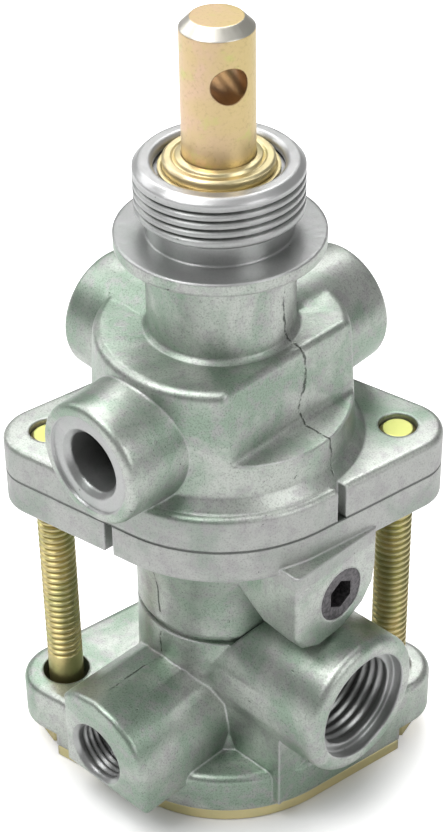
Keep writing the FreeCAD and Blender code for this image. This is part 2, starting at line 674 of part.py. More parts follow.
revolve(retaining_ring, [(s.guide_step_radius - 0.3, s.guide_land + 0.3),
                         (bore + 0.5, s.guide_land + 0.3), (bore + 0.5, s.guide_land + 1.2),
                         (s.guide_step_radius - 0.3, s.guide_land + 1.2)])
feature(retaining_ring, "SubtractiveBox", x=-15, y=-1.5, z=s.guide_land - 1, Length=15, Width=3, Height=4)

# Plunger, its spring and its valve
collar_top = s.guide_under - s.seat_gap
collar_under = collar_top - s.collar_thick
valve_top = s.seat_lower - s.seat_gap
valve_under = valve_top - s.valve_thick
plunger = new_body("plunger")
revolve(plunger, [(0, s.rod_end), (s.rod_radius - 0.5, s.rod_end), (s.rod_radius, s.rod_end + 0.5),
                  (s.rod_radius, collar_under), (s.collar_radius, collar_under),
                  (s.collar_radius, collar_top), (s.stem_radius, collar_top),
                  (s.stem_radius, s.stem_top - s.stem_chamfer),
                  (s.stem_radius - s.stem_chamfer, s.stem_top), (0, s.stem_top)])
cross_turn = FreeCAD.Rotation(V(0, 0, 1), float(SIZES["cross_hole_angle"]) - 90) * TO_X
reach_x = round(math.cos(math.radians(SIZES["cross_hole_angle"] - 90)), 6)
reach_y = round(math.sin(math.radians(SIZES["cross_hole_angle"] - 90)), 6)
feature(plunger, "SubtractiveCylinder", x=-20 * reach_x, y=-20 * reach_y, z=s.cross_hole_height,
        turn=cross_turn, Radius=s.cross_hole_radius, Height=40)

plunger_valve = new_body("plunger_valve")
revolve(plunger_valve, [(s.rod_radius + s.slide_gap, valve_under), (s.valve_radius, valve_under),
                        (s.valve_radius, valve_top), (s.rod_radius + s.slide_gap, valve_top)])
plunger_nut = new_body("plunger_nut")
pad(plunger_nut, "XY_Plane", hex_points(s.nut_flats), valve_under - s.nut_thick - s.seat_gap, s.nut_thick)
feature(plunger_nut, "SubtractiveCylinder", Radius=s.rod_radius + s.slide_gap, Height=100)
valve_seat = new_body("valve_seat")
revolve(valve_seat, [(s.seat_bore_radius, s.seat_lower + 0.3), (s.seat_bore_radius + 0.6, s.seat_lower),
                     (s.seat_outer_radius - 1.4, s.seat_lower),
                     (s.seat_outer_radius - s.slide_gap, s.upper_chamber_top - 0.6),
                     (s.seat_outer_radius - s.slide_gap, s.seat_upper - s.seat_gap),
                     (s.seat_bore_radius, s.seat_upper - s.seat_gap)])


def coil_spring(label, radius, wire, bottom, top, coils):
    """A helical spring between two flat seats."""
    body = doc.addObject("Part::Feature", label)
    body.Label = label
    low, high = bottom.number + wire.number / 2, top.number - wire.number / 2
    path = Part.makeHelix((high - low) / coils, high - low, radius.number)
    section = Part.Wire(Part.makeCircle(wire.number / 2, V(radius.number, 0, 0), V(0, 1, 0)))
    coil = Part.Wire(path).makePipeShell([section], True, True)
    coil.translate(V(0, 0, low))
    body.Shape = coil
    return body


plunger_spring = coil_spring("plunger_spring", s.spring_radius, s.spring_wire,
                             s.spring_floor + s.seat_gap, collar_under - s.seat_gap,
                             SIZES["spring_coils"])

# Relay piston
piston_under = cover_top + s.piston_rest_gap
piston_top = piston_under + s.piston_thick
piston_r = s.piston_chamber_radius - s.free_gap
relay_piston = new_body("relay_piston")
rod = s.relay_rod_radius
revolve(relay_piston, [(0, piston_under), (piston_r, piston_under),
                       (piston_r, piston_under + 0.5), (piston_r - 1.5, piston_under + 0.5),
                       (piston_r - 1.5, piston_top - 0.4), (piston_r, piston_top - 0.4),
                       (piston_r, piston_top), (rod, piston_top), (rod, s.relay_rod_top),
                       (0, s.relay_rod_top)])
piston_seal = ring("piston_seal", piston_r - 0.75, dim(1.5), (piston_under + piston_top) / 2 + 0.05)
relay_seat = new_body("relay_spring_seat")
revolve(relay_seat, [(rod + s.slide_gap, s.relay_seat_height), (s.relay_spring_radius + 1, s.relay_seat_height),
                     (s.relay_spring_radius + 1, s.relay_seat_height + s.relay_seat_thick),
                     (rod + s.slide_gap, s.relay_seat_height + s.relay_seat_thick)])
relay_spring = coil_spring("relay_spring", s.relay_spring_radius, s.relay_spring_wire,
                           s.relay_seat_height + s.relay_seat_thick + s.seat_gap,
                           s.middle_floor_under - s.seat_gap, 6)
relay_valve = new_body("relay_valve")
relay_valve_top = s.middle_floor_top + s.seat_gap + s.relay_valve_thick
revolve(relay_valve, [(rod + s.slide_gap, s.middle_floor_top + s.seat_gap),
                      (s.relay_valve_radius, s.middle_floor_top + s.seat_gap),
                      (s.relay_valve_radius, relay_valve_top), (rod + s.slide_gap, relay_valve_top)])
relay_nut = new_body("relay_nut")
pad(relay_nut, "XY_Plane", hex_points(s.nut_flats), relay_valve_top + s.seat_gap, s.relay_nut_thick)
feature(relay_nut, "SubtractiveCylinder", Radius=rod + s.slide_gap, Height=100)

# Clamping bolts
bolts = []
for side, sign in (("right", 1), ("left", -1)):
    bolt = new_body(f"clamp_bolt_{side}")
    head_top = s.lower_ear_under - s.seat_gap
    end = flange_top - s.bolt_end_drop
    r = s.bolt_dia / 2
    pad(bolt, "XY_Plane", hex_points(s.bolt_head_flats), head_top - s.bolt_head_len, s.bolt_head_len)
    revolve(bolt, [(0, head_top - s.bolt_washer_thick),
                   (s.bolt_washer_radius - 0.4, head_top - s.bolt_washer_thick),
                   (s.bolt_washer_radius, head_top - 0.5), (s.bolt_washer_radius, head_top),
                   (r, head_top), (r, end - 0.5), (r - 0.5, end), (0, end)])
    along = sign * s.bolt_offset * math.sqrt(0.5)
    move_to(bolt, along, along, 0, EARS)
    bolts.append(bolt)

doc.recompute()

# Check and write
singles = [lower_body, joint_seal, cover_seal, bottom_cover, middle_body, flange_seal, plug,
           upper_body, plunger_guide, guide_seal, stem_seal, retaining_ring, plunger,
           plunger_valve, plunger_nut, valve_seat, plunger_spring, relay_piston, piston_seal,
           relay_seat, relay_spring, relay_valve, relay_nut] + bolts
for thing in doc.Objects:
    bad = [word for word in thing.State if word in ("Invalid", "Error")]
    if bad:
        raise RuntimeError(f"{thing.Label} failed: {bad}")
os.makedirs("parts", exist_ok=True)
screw_set = Part.makeCompound([screw.Shape for screw in cover_screws])
nodes = [(thing.Label, thing.Shape) for thing in singles] + [("cover_screws", screw_set)]
for label, shape in nodes:
    if shape.isNull() or not shape.isValid() or not shape.Solids:
        raise RuntimeError(f"{label} has no valid solid")
    if label != "cover_screws" and len(shape.Solids) != 1:
        raise RuntimeError(f"{label} is {len(shape.Solids)} solids")
    shape.exportStep(f"parts/{label}.step")
    print(f"{label:24s} {shape.Volume:10.1f} mm3")
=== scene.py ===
# %% [markdown]
# Trailer supply valve
#
# A push-pull air valve for a dash panel: three die-cast bodies on one axis, two long plated
# bolts that clamp them, and a plated plunger in a threaded neck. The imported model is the
# frame: shapes and places come from it, and the few heights that only a finish needs are named
# here in millimetres. This script gives the castings their cut threads and their cast skin, the
# bolts their rolled threads, and each metal its finish.

# %% The frame and its sizes
import json
import math

import bmesh
import bpy
from mathutils import Matrix, Vector


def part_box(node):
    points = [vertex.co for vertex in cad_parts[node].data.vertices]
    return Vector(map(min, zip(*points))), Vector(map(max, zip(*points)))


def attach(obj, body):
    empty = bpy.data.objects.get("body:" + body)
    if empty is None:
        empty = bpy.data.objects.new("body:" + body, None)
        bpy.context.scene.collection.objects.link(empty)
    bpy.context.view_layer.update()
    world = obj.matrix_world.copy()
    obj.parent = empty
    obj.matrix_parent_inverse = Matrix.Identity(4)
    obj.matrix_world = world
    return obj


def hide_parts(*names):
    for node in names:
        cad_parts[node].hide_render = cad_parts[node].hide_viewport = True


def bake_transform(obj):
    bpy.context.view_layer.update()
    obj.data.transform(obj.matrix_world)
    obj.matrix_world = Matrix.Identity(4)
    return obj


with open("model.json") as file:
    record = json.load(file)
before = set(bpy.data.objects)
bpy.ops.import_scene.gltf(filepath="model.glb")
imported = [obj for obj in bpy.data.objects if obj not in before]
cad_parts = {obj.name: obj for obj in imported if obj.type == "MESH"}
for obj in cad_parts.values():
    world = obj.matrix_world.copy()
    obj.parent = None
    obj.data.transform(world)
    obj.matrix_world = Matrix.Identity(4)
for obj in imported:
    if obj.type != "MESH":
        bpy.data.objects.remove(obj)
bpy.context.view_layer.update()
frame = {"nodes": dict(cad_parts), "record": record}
MM = 0.001
print("nodes in the frame:", len(frame["nodes"]))

# %% [markdown]
# The photograph was taken from well above, with a long lens, a little turned about its own
# line of sight. The camera's place was worked out from the circles on the valve, so it is
# given as it was found: distance from the plunger's axis, height over the floor and tilt.

# %% Camera
CAMERA_AWAY = 235.0 * MM
CAMERA_HEIGHT = 227.2 * MM
CAMERA_SIDE = math.radians(45)
CAMERA_DOWN = math.radians(35.81)
CAMERA_ROLL = math.radians(-0.9)
SENSOR = 36.0
FOCAL_PIXELS = 2108.3
IMAGE_HEIGHT = 832

camera = bpy.data.objects.new("camera", bpy.data.cameras.new("camera"))
camera.data.sensor_fit = "VERTICAL"
camera.data.sensor_height = SENSOR
camera.data.lens = FOCAL_PIXELS * SENSOR / IMAGE_HEIGHT
camera.data.clip_start = 0.01
turn = (Matrix.Rotation(CAMERA_SIDE, 4, "Z") @ Matrix.Rotation(math.pi / 2 - CAMERA_DOWN, 4, "X")
        @ Matrix.Rotation(CAMERA_ROLL, 4, "Z"))
place = Vector((CAMERA_AWAY * math.sin(CAMERA_SIDE), -CAMERA_AWAY * math.cos(CAMERA_SIDE),
                CAMERA_HEIGHT))
camera.matrix_world = Matrix.Translation(place) @ turn
bpy.context.scene.collection.objects.link(camera)
bpy.context.scene.camera = camera
print("lens", round(camera.data.lens, 1), "mm")

# %% [markdown]
# Shader maths reads better as Python than as a web of nodes. `Socket` lets an expression such
# as `1 - mask * 0.5` add its own Math nodes.

# %% Sums on sockets


class Socket:
    """A number inside a material, on which arithmetic can be done."""

    def __init__(self, finish, link):
        self.finish = finish
        self.link = link

    def maths(self, operation, other, first=True):
        pair = (self, other) if first else (other, self)
        return self.finish.node("ShaderNodeMath", {"operation": operation}, {0: pair[0], 1: pair[1]})

    def __add__(self, other):
        return self.maths("ADD", other)

    def __radd__(self, other):
        return self.maths("ADD", other, first=False)

    def __sub__(self, other):
        return self.maths("SUBTRACT", other)

    def __rsub__(self, other):
        return self.maths("SUBTRACT", other, first=False)

    def __mul__(self, other):
        return self.maths("MULTIPLY", other)

    def __pow__(self, other):
        return self.maths("POWER", other)


# %% [markdown]
# A `Finish` is one material. `node` adds any node and gives back its socket, and the other
# methods are the few patterns that the metals share: noise, soft steps, bands and edges lightened
# for wear and as a painted highlight.

# %% One material and its nodes


class Finish:
    """One material: a Principled shader and the nodes that feed it."""

    def __init__(self, name, **plain):
        self.material = bpy.data.materials.new(name)
        self.material.use_nodes = True
        self.tree = self.material.node_tree
        self.surface = next(n for n in self.tree.nodes if n.type == "BSDF_PRINCIPLED")
        for socket, value in plain.items():
            self.surface.inputs[socket.replace("_", " ")].default_value = value
        self.material.diffuse_color = self.surface.inputs["Base Color"].default_value

    def node(self, kind, settings=None, sockets=None, out=0):
        """Adds a node: its settings first, then values or links for its sockets."""
        made = self.tree.nodes.new(kind)
        for name, value in (settings or {}).items():
            setattr(made, name, value)
        for name, value in (sockets or {}).items():
            if isinstance(value, Socket):
                self.tree.links.new(value.link, made.inputs[name])
            else:
                made.inputs[name].default_value = value
        return Socket(self, made.outputs[out])

    def feed(self, name, value):
        """Links a value to an input of the Principled shader."""
        self.tree.links.new(value.link, self.surface.inputs[name])

    def place(self):
        """The point on the piece, in millimetres."""
        metres = self.node("ShaderNodeTexCoord", out="Object")
        return self.node("ShaderNodeVectorMath", {"operation": "SCALE"}, {0: metres, "Scale": 1 / MM})

    def part(self, vector, axis):
        """One coordinate of a vector: 0 for X, 1 for Y, 2 for Z."""
        return self.node("ShaderNodeSeparateXYZ", sockets={0: vector}, out=axis)

    def vector_maths(self, operation, first, second=(0, 0, 0), out=0):
        return self.node("ShaderNodeVectorMath", {"operation": operation}, {0: first, 1: second}, out)

    def round_a_mount(self, mount):
        """How far out along the mount's axis the point is, and how far beside the axis, in millimetres."""
        middle = [value / MM for value in mount["pos_m"]]
        offset = self.vector_maths("SUBTRACT", self.place(), middle)
        out_along = self.vector_maths("DOT_PRODUCT", offset, mount["axis"], out="Value")
        beside = self.vector_maths("CROSS_PRODUCT", offset, mount["axis"])
        return out_along, self.vector_maths("LENGTH", beside, out="Value")

    def from_upright_axis(self, vector):
        """How far the point is beside the valve's own axis."""
        return (self.part(vector, 0) ** 2 + self.part(vector, 1) ** 2) ** 0.5

    def facing_up(self):
        """1 where the surface faces up, 0 on upright walls."""
        return self.part(self.node("ShaderNodeNewGeometry", out="Normal"), 2)

    def noise(self, vector, per_mm, detail, roughness, distortion=0.0):
        """Cloudy numbers about 0.5, with that many waves to a millimetre."""
        return self.node("ShaderNodeTexNoise", sockets={
            "Vector": vector, "Scale": per_mm, "Detail": detail, "Roughness": roughness,
            "Distortion": distortion})

    def ramp(self, value, low, high):
        """0 below low, 1 above high, smooth between."""
        return self.node("ShaderNodeMapRange", {"interpolation_type": "SMOOTHSTEP"},
                         {"Value": value, "From Min": low, "From Max": high})

    def band(self, value, low, high, soft):
        """1 between low and high, with soft borders."""
        return self.ramp(value, low - soft, low + soft) * (1 - self.ramp(value, high - soft, high + soft))

    def mix(self, mask, first, second):
        """The first colour where mask is 0, the second where it is 1."""
        mixed = self.tree.nodes.new("ShaderNodeMix")
        mixed.data_type = "RGBA"
        for index, value in ((0, mask), (6, first), (7, second)):
            if isinstance(value, Socket):
                self.tree.links.new(value.link, mixed.inputs[index])
            else:
                mixed.inputs[index].default_value = (*value, 1) if index else value
        return Socket(self, mixed.outputs[2])

    def bump(self, height, strength, reach, normal):
        """A normal that follows a fine relief."""
        return self.node("ShaderNodeBump", sockets={
            "Height": height, "Strength": strength, "Distance": reach, "Normal": normal})

    def edge_wear_and_highlight(self, radius):
        """1 along outer and inner edges, 0 on open surface (wear and painted highlight), and the rounded
        normal.
        """
        rounded = self.node("ShaderNodeBevel", {"samples": 6}, {"Radius": radius})
        flat = self.node("ShaderNodeNewGeometry", out="Normal")
        same = self.vector_maths("DOT_PRODUCT", rounded, flat, out="Value")
        return self.ramp(1 - same, 0.01, 0.22), rounded


# %% [markdown]
# The castings are aluminium, tumbled and then dipped for a thin chromate film. The film is
# grey-green with mauve clouds, the edges are rubbed bright and lightened further as a painted
# highlight, and the skin is finely grained with a few dark flecks. All of it is noise read in
# millimetres, so the three bodies share one finish at one scale.

# %% Cast alloy: film, clouds and grain
PALE = (0.52, 0.55, 0.51)
GREEN = (0.27, 0.37, 0.285)
MAUVE = (0.415, 0.40, 0.41)
RUBBED_AND_HIGHLIGHT = (0.74, 0.74, 0.745)
DARK = (0.05, 0.06, 0.05)

cast = Finish("cast_alloy", Base_Color=(*PALE, 1), Metallic=0.8, Roughness=0.42)
point = cast.place()
east, north, height = (cast.part(point, axis) for axis in range(3))
upward = cast.facing_up()
edge, rounded = cast.edge_wear_and_highlight(0.6 * MM)
patches = cast.ramp(cast.noise(point, 0.08, 4, 0.6, 0.5), 0.40, 0.62)
cloud = cast.noise(point, 0.45, 5, 0.66)
grain = cast.noise(point, 4.0, 3, 0.7)
flecks = cast.ramp(cast.noise(point, 1.1, 2, 0.6), 0.73, 0.78)

colour = cast.mix(patches * 0.85, PALE, GREEN)
colour = cast.mix(cast.ramp(cloud, 0.46, 0.66) * 0.7, colour, MAUVE)
colour = cast.mix(cast.ramp(grain, 0.45, 0.75) * 0.5, colour, DARK)
print("cast skin: film, clouds, grain")

# %% [markdown]
# The upright walls of the two flanges are rough and mauve-grey. The collar's top and the neck
# above it were turned on a lathe, and so were the port mouths: clean grey metal. A painted
# highlight lightens the neck's rim, and painted shade darkens the bores and the grooves of the
# thread. Sizes are in millimetres.

# %% Cast alloy: rough walls, turned faces, painted rim highlight and bore shade
FLANGE_FOOT = 44.0
FLANGE_SPLIT = 50.34
FLANGE_TOP = 55.72
COLLAR_TOP = 87.62
COLLAR_RIM = 14.4
THREAD_FOOT, THREAD_TOP = 91.7, 96.7
THREAD_CREST = 11.11
SPOT_RADIUS = {"supply_port": 8.3, "front_port": 7.1, "side_port": 7.1, "rear_port": 7.1,
               "control_port": 4.9}
BORE_END = -20                                   # along a port's axis, from its mount inwards
DARK_AT, LIGHT_AT = -9, -0.5
TURNED = (0.43, 0.43, 0.435)

mounts = {m["name"]: m for m in frame["record"]["mounts"]}
walls = cast.band(height, FLANGE_FOOT, FLANGE_TOP - 0.5, 0.2) * (1 - cast.ramp(upward, 0.3, 0.7))
colour = cast.mix(walls * 0.4, colour, MAUVE)

from_axis = cast.from_upright_axis(point)
turned = cast.ramp(height, COLLAR_TOP - 0.25, COLLAR_TOP - 0.1)
# painted shade: the grooves of the neck's thread and the bores of the ports are darkened
in_groove = 1 - cast.ramp(from_axis, THREAD_CREST - 0.55, THREAD_CREST - 0.1)
bore_shade = cast.band(height, THREAD_FOOT, THREAD_TOP, 0.05) * in_groove
for name, radius in SPOT_RADIUS.items():
    out_along, reach = cast.round_a_mount(mounts[name])
    within = 1 - cast.ramp(reach, radius - 0.05, radius + 0.05)
    mouth = within * cast.ramp(out_along, BORE_END, BORE_END + 1)
    turned = turned.maths("MAXIMUM", mouth)
    bore_shade = bore_shade.maths("MAXIMUM", mouth * (1 - cast.ramp(out_along, DARK_AT, LIGHT_AT)))
# a painted highlight lightens the neck's rim above the thread
rim_highlight = cast.ramp(height, THREAD_TOP, THREAD_TOP + 0.3)
colour = cast.mix(turned * 0.75, colour, TURNED)
colour = cast.mix(rim_highlight * 0.5, colour, RUBBED_AND_HIGHLIGHT)
print("turned faces:", ", ".join(SPOT_RADIUS))

# %% [markdown]
# The halves of the mould met in two upright planes. Where the metal pressed between them it left
# thin dark wandering lines: one down the upper body on the supply side, one down the front of
# the two lower bodies, and a nick in the collar's rim. The joint between the flanges is another.

# %% Cast alloy: seams
SUPPLY_SEAM = (56.5, 84)                         # foot and top of each seam
FRONT_SEAM = (13, 44)
COLLAR_NICK = (84, 88.5)

wander = (cast.noise(point, 0.13, 2, 0.5) - 0.5) * 5 + (cast.noise(point, 0.9, 3, 0.6) - 0.5) * 0.8
ragged = cast.ramp(cast.noise(point, 0.8, 3, 0.7), 0.36, 0.5)
broken = cast.ramp(cast.noise(point, 0.35, 3, 0.7), 0.42, 0.55)
control_face = mounts["control_port"]["pos_m"][1] / MM


def seam(across, width):
    """1 on a thin line where across is nothing."""
    return 1 - cast.ramp(across.maths("ABSOLUTE", 0), width * 0.3, width)


supply_side = cast.ramp(east, 4, 5)
control_side = 1 - cast.ramp(north, -5, -4)
off_the_face = cast.ramp(north, control_face + 1.5, control_face + 3)
on_the_rim = cast.ramp(from_axis, COLLAR_RIM, COLLAR_RIM + 0.3)
right_seam = seam(north - 2.0 + wander, 0.26) * supply_side * cast.band(height, *SUPPLY_SEAM, 0.3)
front_seam = (seam(east + 0.5 + wander * 0.4, 0.24) * control_side
              * cast.band(height, *FRONT_SEAM, 0.5) * off_the_face * broken)
collar_nick = (seam(east + 3.0 + wander * 0.3, 0.3) * control_side
               * cast.band(height, *COLLAR_NICK, 0.3) * on_the_rim)
flange_joint = seam(height - FLANGE_SPLIT + wander * 0.04, 0.3)
seams = (right_seam + collar_nick) * ragged + front_seam + flange_joint * 0.9
print("seams: supply side, front, collar's nick, flange joint")

# %% [markdown]
# Rubbed edges, also lightened as a painted highlight, and all that is dark, the painted shade
# of the bores and grooves among it, go on last. Rough places are dull, turned ones are smooth.

# %% Cast alloy: what the shader gets
# rubbed edges, lightened for wear and as a painted highlight
colour = cast.mix(edge * 0.6 * (1 - turned * 0.4), colour, RUBBED_AND_HIGHLIGHT)
# dark flecks and seams are the metal's own; the darkened bores and thread grooves are painted shade
colour = cast.mix((flecks * 0.6 + seams * 0.85 + bore_shade * 0.8).maths("MINIMUM", 1), colour, DARK)
cast.feed("Base Color", colour)
cast.feed("Roughness", 0.26 + cloud * 0.14 + grain * 0.08 + walls * 0.12 - turned * 0.05)
relief = grain * (0.5 + walls * 0.8 - turned * 0.35) + cloud * 0.8 - flecks * 0.8 - seams
cast.feed("Normal", cast.bump(relief, 0.4, 0.12 * MM, rounded))

# %% [markdown]
# Stem, guide, bolts and cover are steel with yellow zinc plate: a straw colour that turns rosy
# on the stem's left, olive on the bolts and lemon in spots, as thin films do.

# %% Yellow zinc: the film
STRAW = (0.66, 0.53, 0.25)
ROSY = (0.72, 0.52, 0.36)
OLIVE = (0.46, 0.43, 0.19)
LEMON = (0.58, 0.62, 0.20)
DULL = (0.30, 0.22, 0.12)
WORN_AND_HIGHLIGHT = (0.86, 0.80, 0.62)
BOLTS_BELOW, STEM_ABOVE = 80, 90

zinc = Finish("yellow_zinc", Base_Color=(*STRAW, 1), Metallic=0.92, Roughness=0.3)
point = zinc.place()
height = zinc.part(point, 2)
upward = zinc.facing_up()
edge, rounded = zinc.edge_wear_and_highlight(0.3 * MM)
film = zinc.noise(point, 0.16, 3, 0.5, 0.8)
fine = zinc.noise(point, 2.2, 4, 0.6)
right_side = zinc.ramp(zinc.part(point, 0) + zinc.part(point, 1), -3, 6)
stem_film = zinc.mix(right_side * 0.8, ROSY, STRAW)
colour = zinc.mix(zinc.ramp(height, BOLTS_BELOW, STEM_ABOVE), OLIVE, stem_film)
colour = zinc.mix(zinc.ramp(film, 0.38, 0.62) * 0.6, colour, STRAW)
colour = zinc.mix(zinc.ramp(zinc.noise(point, 0.3, 3, 0.6), 0.56, 0.72) * 0.5, colour, LEMON)
colour = zinc.mix(zinc.ramp(fine, 0.5, 0.8) * 0.3, colour, DULL)
# worn edges, lightened also as a painted highlight
colour = zinc.mix(edge * 0.5, colour, WORN_AND_HIGHLIGHT)
print("zinc film: rosy, straw, olive, lemon")

# %% [markdown]
# Some places have their own tone: the stem's chamfer is rubbed to silver, the bolts' flat ends
# are lemon, and the guide and the cover are pale gold. The cross hole is darkened to amber inside,
# which is painted shade.

# %% Yellow zinc: places
SILVER = (0.70, 0.71, 0.68)
PALE_GOLD = (0.84, 0.76, 0.47)
HOLE_SHADE = (0.30, 0.15, 0.05)
STEM_CHAMFER = 115.6
BOLT_END_LOW, BOLT_END_HIGH = 54.3, 56.0
GUIDE_FOOT = 85
COVER_TOP = 2.3
HOLE_ABOVE = 90
STEM_RADIUS = mounts["knob_stem"]["dims"]["r_mm"]
HOLE_RADIUS = mounts["knob_pin_hole"]["dims"]["r_mm"]

chamfer = zinc.ramp(height, STEM_CHAMFER - 0.2, STEM_CHAMFER) * zinc.band(upward, 0.25, 0.97, 0.02)
colour = zinc.mix(chamfer * 0.8, colour, SILVER)
bolt_ends = zinc.band(height, BOLT_END_LOW, BOLT_END_HIGH, 0.2) * zinc.ramp(upward, 0.7, 0.9)
colour = zinc.mix(bolt_ends * 0.85, colour, LEMON)
off_the_stem = zinc.ramp(zinc.from_upright_axis(point), STEM_RADIUS + 0.05, STEM_RADIUS + 0.2)
guide = zinc.ramp(height, GUIDE_FOOT - 1, GUIDE_FOOT + 1) * off_the_stem
cover = 1 - zinc.ramp(height, COVER_TOP, COVER_TOP + 0.3)
colour = zinc.mix((guide * 0.7 + cover * 0.5) * (0.7 + fine * 0.4), colour, PALE_GOLD)
# painted shade: the inside of the cross hole is darkened to amber
beside_hole = zinc.round_a_mount(mounts["knob_pin_hole"])[1]
in_hole = 1 - zinc.ramp(beside_hole, HOLE_RADIUS, HOLE_RADIUS + 0.15)
colour = zinc.mix(in_hole * zinc.ramp(height, HOLE_ABOVE, HOLE_ABOVE + 1) * 0.8, colour, HOLE_SHADE)
zinc.feed("Base Color", colour)
zinc.feed("Roughness", 0.26 + fine * 0.2)
zinc.feed("Normal", zinc.bump(fine, 0.2, 0.05 * MM, rounded))
print("zinc places: chamfer, bolt ends, guide, cover, cross hole")

# %% [markdown]
# The other materials are plain, each with a noise that varies its gloss.

# %% Black plug, rubber, bare alloy and spring wire
black = Finish("black_steel", Base_Color=(0.10, 0.095, 0.10, 1), Metallic=0.8, Roughness=0.35)
speck = black.noise(black.place(), 2.0, 3, 0.6)
black.feed("Roughness", 0.3 + speck * 0.3)
black.feed("Base Color", black.mix(black.ramp(speck, 0.35, 0.7), (0.07, 0.066, 0.07),
                                   (0.18, 0.17, 0.18)))

rubber = Finish("seal_rubber", Base_Color=(0.02, 0.02, 0.02, 1), Roughness=0.6)
bloom = rubber.noise(rubber.place(), 0.8, 3, 0.6)
rubber.feed("Roughness", 0.5 + bloom * 0.25)

bare = Finish("bare_alloy", Base_Color=(0.72, 0.72, 0.73, 1), Metallic=1.0, Roughness=0.3)
turned_marks = bare.noise(bare.place(), 1.5, 3, 0.6)
bare.feed("Roughness", 0.2 + turned_marks * 0.25)

wire = Finish("spring_steel", Base_Color=(0.45, 0.45, 0.46, 1), Metallic=1.0, Roughness=0.3)
drawn = wire.noise(wire.place(), 1.0, 3, 0.6)
wire.feed("Roughness", 0.2 + drawn * 0.25)

# %% [markdown]
# Each node takes the finish that its record names.

# %% Finishes on their nodes
FINISHES = {"cast_alloy": cast, "yellow_zinc": zinc, "black_steel": black,
            "seal_rubber": rubber, "bare_alloy": bare, "spring_steel": wire}
for sub in frame["record"]["subparts"]:
    node = frame["nodes"][sub["node"]]
    node.data.materials.clear()
    node.data.materials.append(FINISHES[sub["material_slot"]].material)
print("materials:", ", ".join(FINISHES))

# %% [markdown]
# A thread is a groove wound round a cylinder, so it is cut the way a lathe cuts it: a small
# triangle is wound along a helix with `spin`, whose `dvec` moves each step along the axis, and
# the closed coil is taken from a copy of the casting with a Boolean. The frame's own mesh stays
# as it is, and the copy stands for it.

# %% Cutting threads
STEPS = 40
WELD = 0.002 * MM
SHARP_ANGLE = math.radians(35)
OVERLAP = 0.3                                    # how far a groove's mouth stands past the wall, in depths


def copy_of(name, material):
    """A merged copy of a frame node, which stands for it."""
    mesh = frame["nodes"][name].data.copy()
    piece = bpy.data.objects.new(f"{name}_skin", mesh)
    bpy.context.scene.collection.objects.link(piece)
    bm = bmesh.new()
    bm.from_mesh(mesh)
    bmesh.ops.remove_doubles(bm, verts=bm.verts, dist=WELD)
    bmesh.ops.dissolve_degenerate(bm, edges=bm.edges, dist=WELD)
    bm.to_mesh(mesh)
    bm.free()
    if "custom_normal" in mesh.attributes:
        mesh.attributes.remove(mesh.attributes["custom_normal"])
    mesh.materials.clear()
    mesh.materials.append(material)
    return piece


def thread_coil(name, start, along, radius, depth, pitch, turns, inside, across=None, width=0.92):
    """The groove of a thread as a solid: a triangle wound about a line from start, STEPS to a turn."""
    along = Vector(along).normalized()
    across = Vector(across or along.orthogonal()).normalized()
    tip = radius + depth if inside else radius - depth
    base = radius - OVERLAP * depth if inside else radius + OVERLAP * depth
    half = pitch * width / 2
    corners = [across * tip, across * base + along * half, across * base - along * half]
    bm = bmesh.new()
    ring = [bm.verts.new(Vector(start) + corner) for corner in corners]
    loop = [bm.edges.new((ring[i], ring[(i + 1) % 3])) for i in range(3)]
    bmesh.ops.spin(bm, geom=ring + loop, cent=Vector(start), axis=along, angle=math.tau * turns,
                   steps=round(STEPS * turns), dvec=along * pitch / STEPS, use_merge=False)
    bmesh.ops.holes_fill(bm, edges=[e for e in bm.edges if e.is_boundary], sides=0)
    bmesh.ops.recalc_face_normals(bm, faces=bm.faces)
    mesh = bpy.data.meshes.new(name)
    bm.to_mesh(mesh)
    bm.free()
    coil = bpy.data.objects.new(name, mesh)
    bpy.context.scene.collection.objects.link(coil)
    return coil


def take_away(piece, tool):
    """Cuts the tool out of the piece and throws the tool away."""
    boolean = piece.modifiers.new("cut", "BOOLEAN")
    boolean.operation = "DIFFERENCE"
    boolean.solver = "EXACT"
    boolean.object = tool
    bpy.context.view_layer.update()
    cut = bpy.data.meshes.new_from_object(piece.evaluated_get(bpy.context.evaluated_depsgraph_get()))
    piece.modifiers.clear()
    piece.data = cut
    bpy.data.objects.remove(tool)


def shade(piece):
    """Smooth shading that keeps the edges sharper than the angle."""
    piece.data.shade_smooth()
    piece.data.set_sharp_from_angle(angle=SHARP_ANGLE)


# %% [markdown]
# The neck's thread is four turns that start and end at the back, under a plain rim. The two
# lower ports have pipe threads, 18 and 27 to the inch, that stop short of the end of the bore.
# The depth of a thread is given in parts of its pitch.

# %% The three castings
INCH = 25.4 * MM
NECK_PITCH = 1.2 * MM
NECK_DEPTH = 0.6
NECK_THREAD_FOOT = 91.8 * MM
NECK_TURNS = 4
NECK_GROOVE_WIDTH = 0.66
PORT_DEPTH = 0.42
PLAIN_BORE = 3 * MM
AWAY_FROM_CAMERA = (-1, 1, 0)


def cut_port_thread(piece, name, per_inch):
    """Cuts the pipe thread of a port from just outside the mount's point inwards."""
    mount = mounts[name]
    pitch = INCH / per_inch
    along = Vector(mount["axis"])
    start = Vector(mount["pos_m"]) + along * 0.4 * pitch
    turns = (mount["dims"]["length_mm"] * MM - PLAIN_BORE) / pitch
    radius = mount["dims"]["r_mm"] * MM
    take_away(piece, thread_coil(f"{name}_coil", start, -along, radius, PORT_DEPTH * pitch, pitch,
                                 turns, True))


